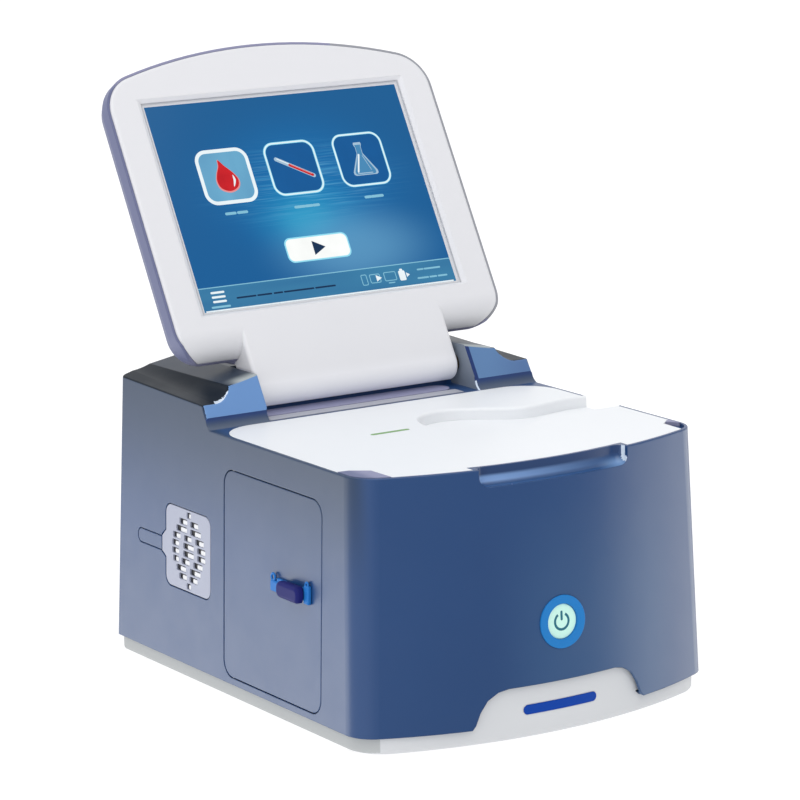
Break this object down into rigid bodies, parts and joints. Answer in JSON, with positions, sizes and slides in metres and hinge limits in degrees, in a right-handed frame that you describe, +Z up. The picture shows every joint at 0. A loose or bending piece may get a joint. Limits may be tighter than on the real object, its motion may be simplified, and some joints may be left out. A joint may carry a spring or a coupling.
{
  "type": "blood gas analyzer",
  "caption": "Bench-top blood gas analyzer with a folding touch display, side reagent door with turn latch, fan vent and open sample channel.",
  "frame": {"origin": "centre of the footprint's bounding box, latch included, at the underside of the feet", "axes": "+Z up, front of the unit towards -Y, +X to the user's right as they face it"},
  "size_m": [0.2906, 0.3962, 0.4293],
  "materials": {
    "housing_blue": "satin moulded",
    "tray_grey": "fine texture",
    "deck_white": "satin",
    "bezel_white": "satin",
    "shell_lavender": "satin",
    "display_glass": "clear, lit from behind",
    "lcd_body": "lit display",
    "vent_grey": "satin",
    "filter_white": "fine foam",
    "latch_blue": "gloss",
    "latch_navy": "satin",
    "ring_blue": "gloss",
    "button_mint": "gloss",
    "symbol_teal": "print",
    "led_green": "diffuser",
    "light_blue_bar": "diffuser",
    "rubber": "matte",
    "steel": "brushed",
    "brass": "turned",
    "aluminium": "bead blasted",
    "pcb": "solder mask",
    "components": "moulded",
    "dark_plastic": "textured",
    "liner_grey": "fine texture",
    "pack_plastic": "smooth",
    "strip_grey": "smooth"
  },
  "bodies": {
    "root": {"base_screws": "steel", "base_tray": "tray_grey", "battery_pack": "dark_plastic", "board_components": "components", "button_switch": "components", "chassis_plate": "aluminium", "chassis_screws": "steel", "chassis_standoffs": "brass", "closure_pads": "shell_lavender", "door_hinge_pins": "steel", "fan_duct": "dark_plastic", "fan_frame": "dark_plastic", "hinge_brackets": "steel", "hinge_bushes": "brass", "inlet_pins": "brass", "io_panel": "dark_plastic", "light_bar_board": "pcb", "light_bar_lens": "light_blue_bar", "main_board": "pcb", "mains_inlet": "dark_plastic", "network_port": "steel", "outer_shell": "housing_blue", "pocket_plate": "shell_lavender", "pocket_strip": "strip_grey", "port_cover": "rubber", "power_ring": "ring_blue", "power_supply": "steel", "pump_housing": "dark_plastic", "pump_motor": "steel", "reagent_bay": "liner_grey", "reagent_pack": "pack_plastic", "rubber_feet": "rubber", "sample_port": "dark_plastic", "sample_probe": "steel", "sensor_bracket": "steel", "sensor_module": "aluminium", "status_light": "led_green", "top_deck": "deck_white"},
    "screen": {"screen_bezel": "bezel_white", "screen_back": "shell_lavender", "lcd_panel": "lcd_body", "touch_glass": "display_glass", "display_frame": "steel", "display_board": "pcb", "hinge_arm": "aluminium", "hinge_shaft": "steel", "display_cable": "components", "screen_screws": "steel", "hinge_friction_nuts": "steel"},
    "side_door": {"side_door": "housing_blue"},
    "door_latch": {"latch_lever": "latch_blue", "latch_grip": "latch_navy", "latch_shaft": "steel", "latch_cam": "steel"},
    "vent_cover": {"vent_cover": "vent_grey", "air_filter": "filter_white"},
    "power_button": {"power_button": "button_mint", "power_symbol": "symbol_teal"},
    "fan_rotor": {"fan_rotor": "dark_plastic"},
    "pump_rotor": {"pump_rotor": "pack_plastic"}
  },
  "joints": [
    {"name": "screen_fold", "type": "hinge", "parent": "root", "child": "screen", "pos_m": [0.00301, 0.06019, 0.20162], "axis": [1, 0, 0], "range_deg": [0, 120]},
    {"name": "door_swing", "type": "hinge", "parent": "root", "child": "side_door", "pos_m": [-0.13487, -0.00367, 0.09159], "axis": [-0.0318, 0, -0.9995], "range_deg": [0, 100]},
    {"name": "latch_turn", "type": "hinge", "parent": "side_door", "child": "door_latch", "pos_m": [-0.13656, -0.08607, 0.0984], "axis": [-0.9995, 0, 0.0318], "range_deg": [0, 90]},
    {"name": "vent_cover_pull", "type": "slide", "parent": "root", "child": "vent_cover", "axis": [-0.9995, 0, 0.0318], "range_m": [0, 0.02]},
    {"name": "power_press", "type": "slide", "parent": "root", "child": "power_button", "axis": [0, 0.9983, -0.0575], "range_m": [0, 0.0015], "stiffness_N_per_m": 900, "springref_m": -0.001},
    {"name": "fan_spin", "type": "hinge", "parent": "root", "child": "fan_rotor", "pos_m": [-0.11665, 0.05613, 0.09516], "axis": [-0.9995, 0, 0.0318], "continuous": true},
    {"name": "pump_spin", "type": "hinge", "parent": "root", "child": "pump_rotor", "pos_m": [0.07301, 0.08593, 0.06], "axis": [0, 0, 1], "continuous": true}
  ]
}
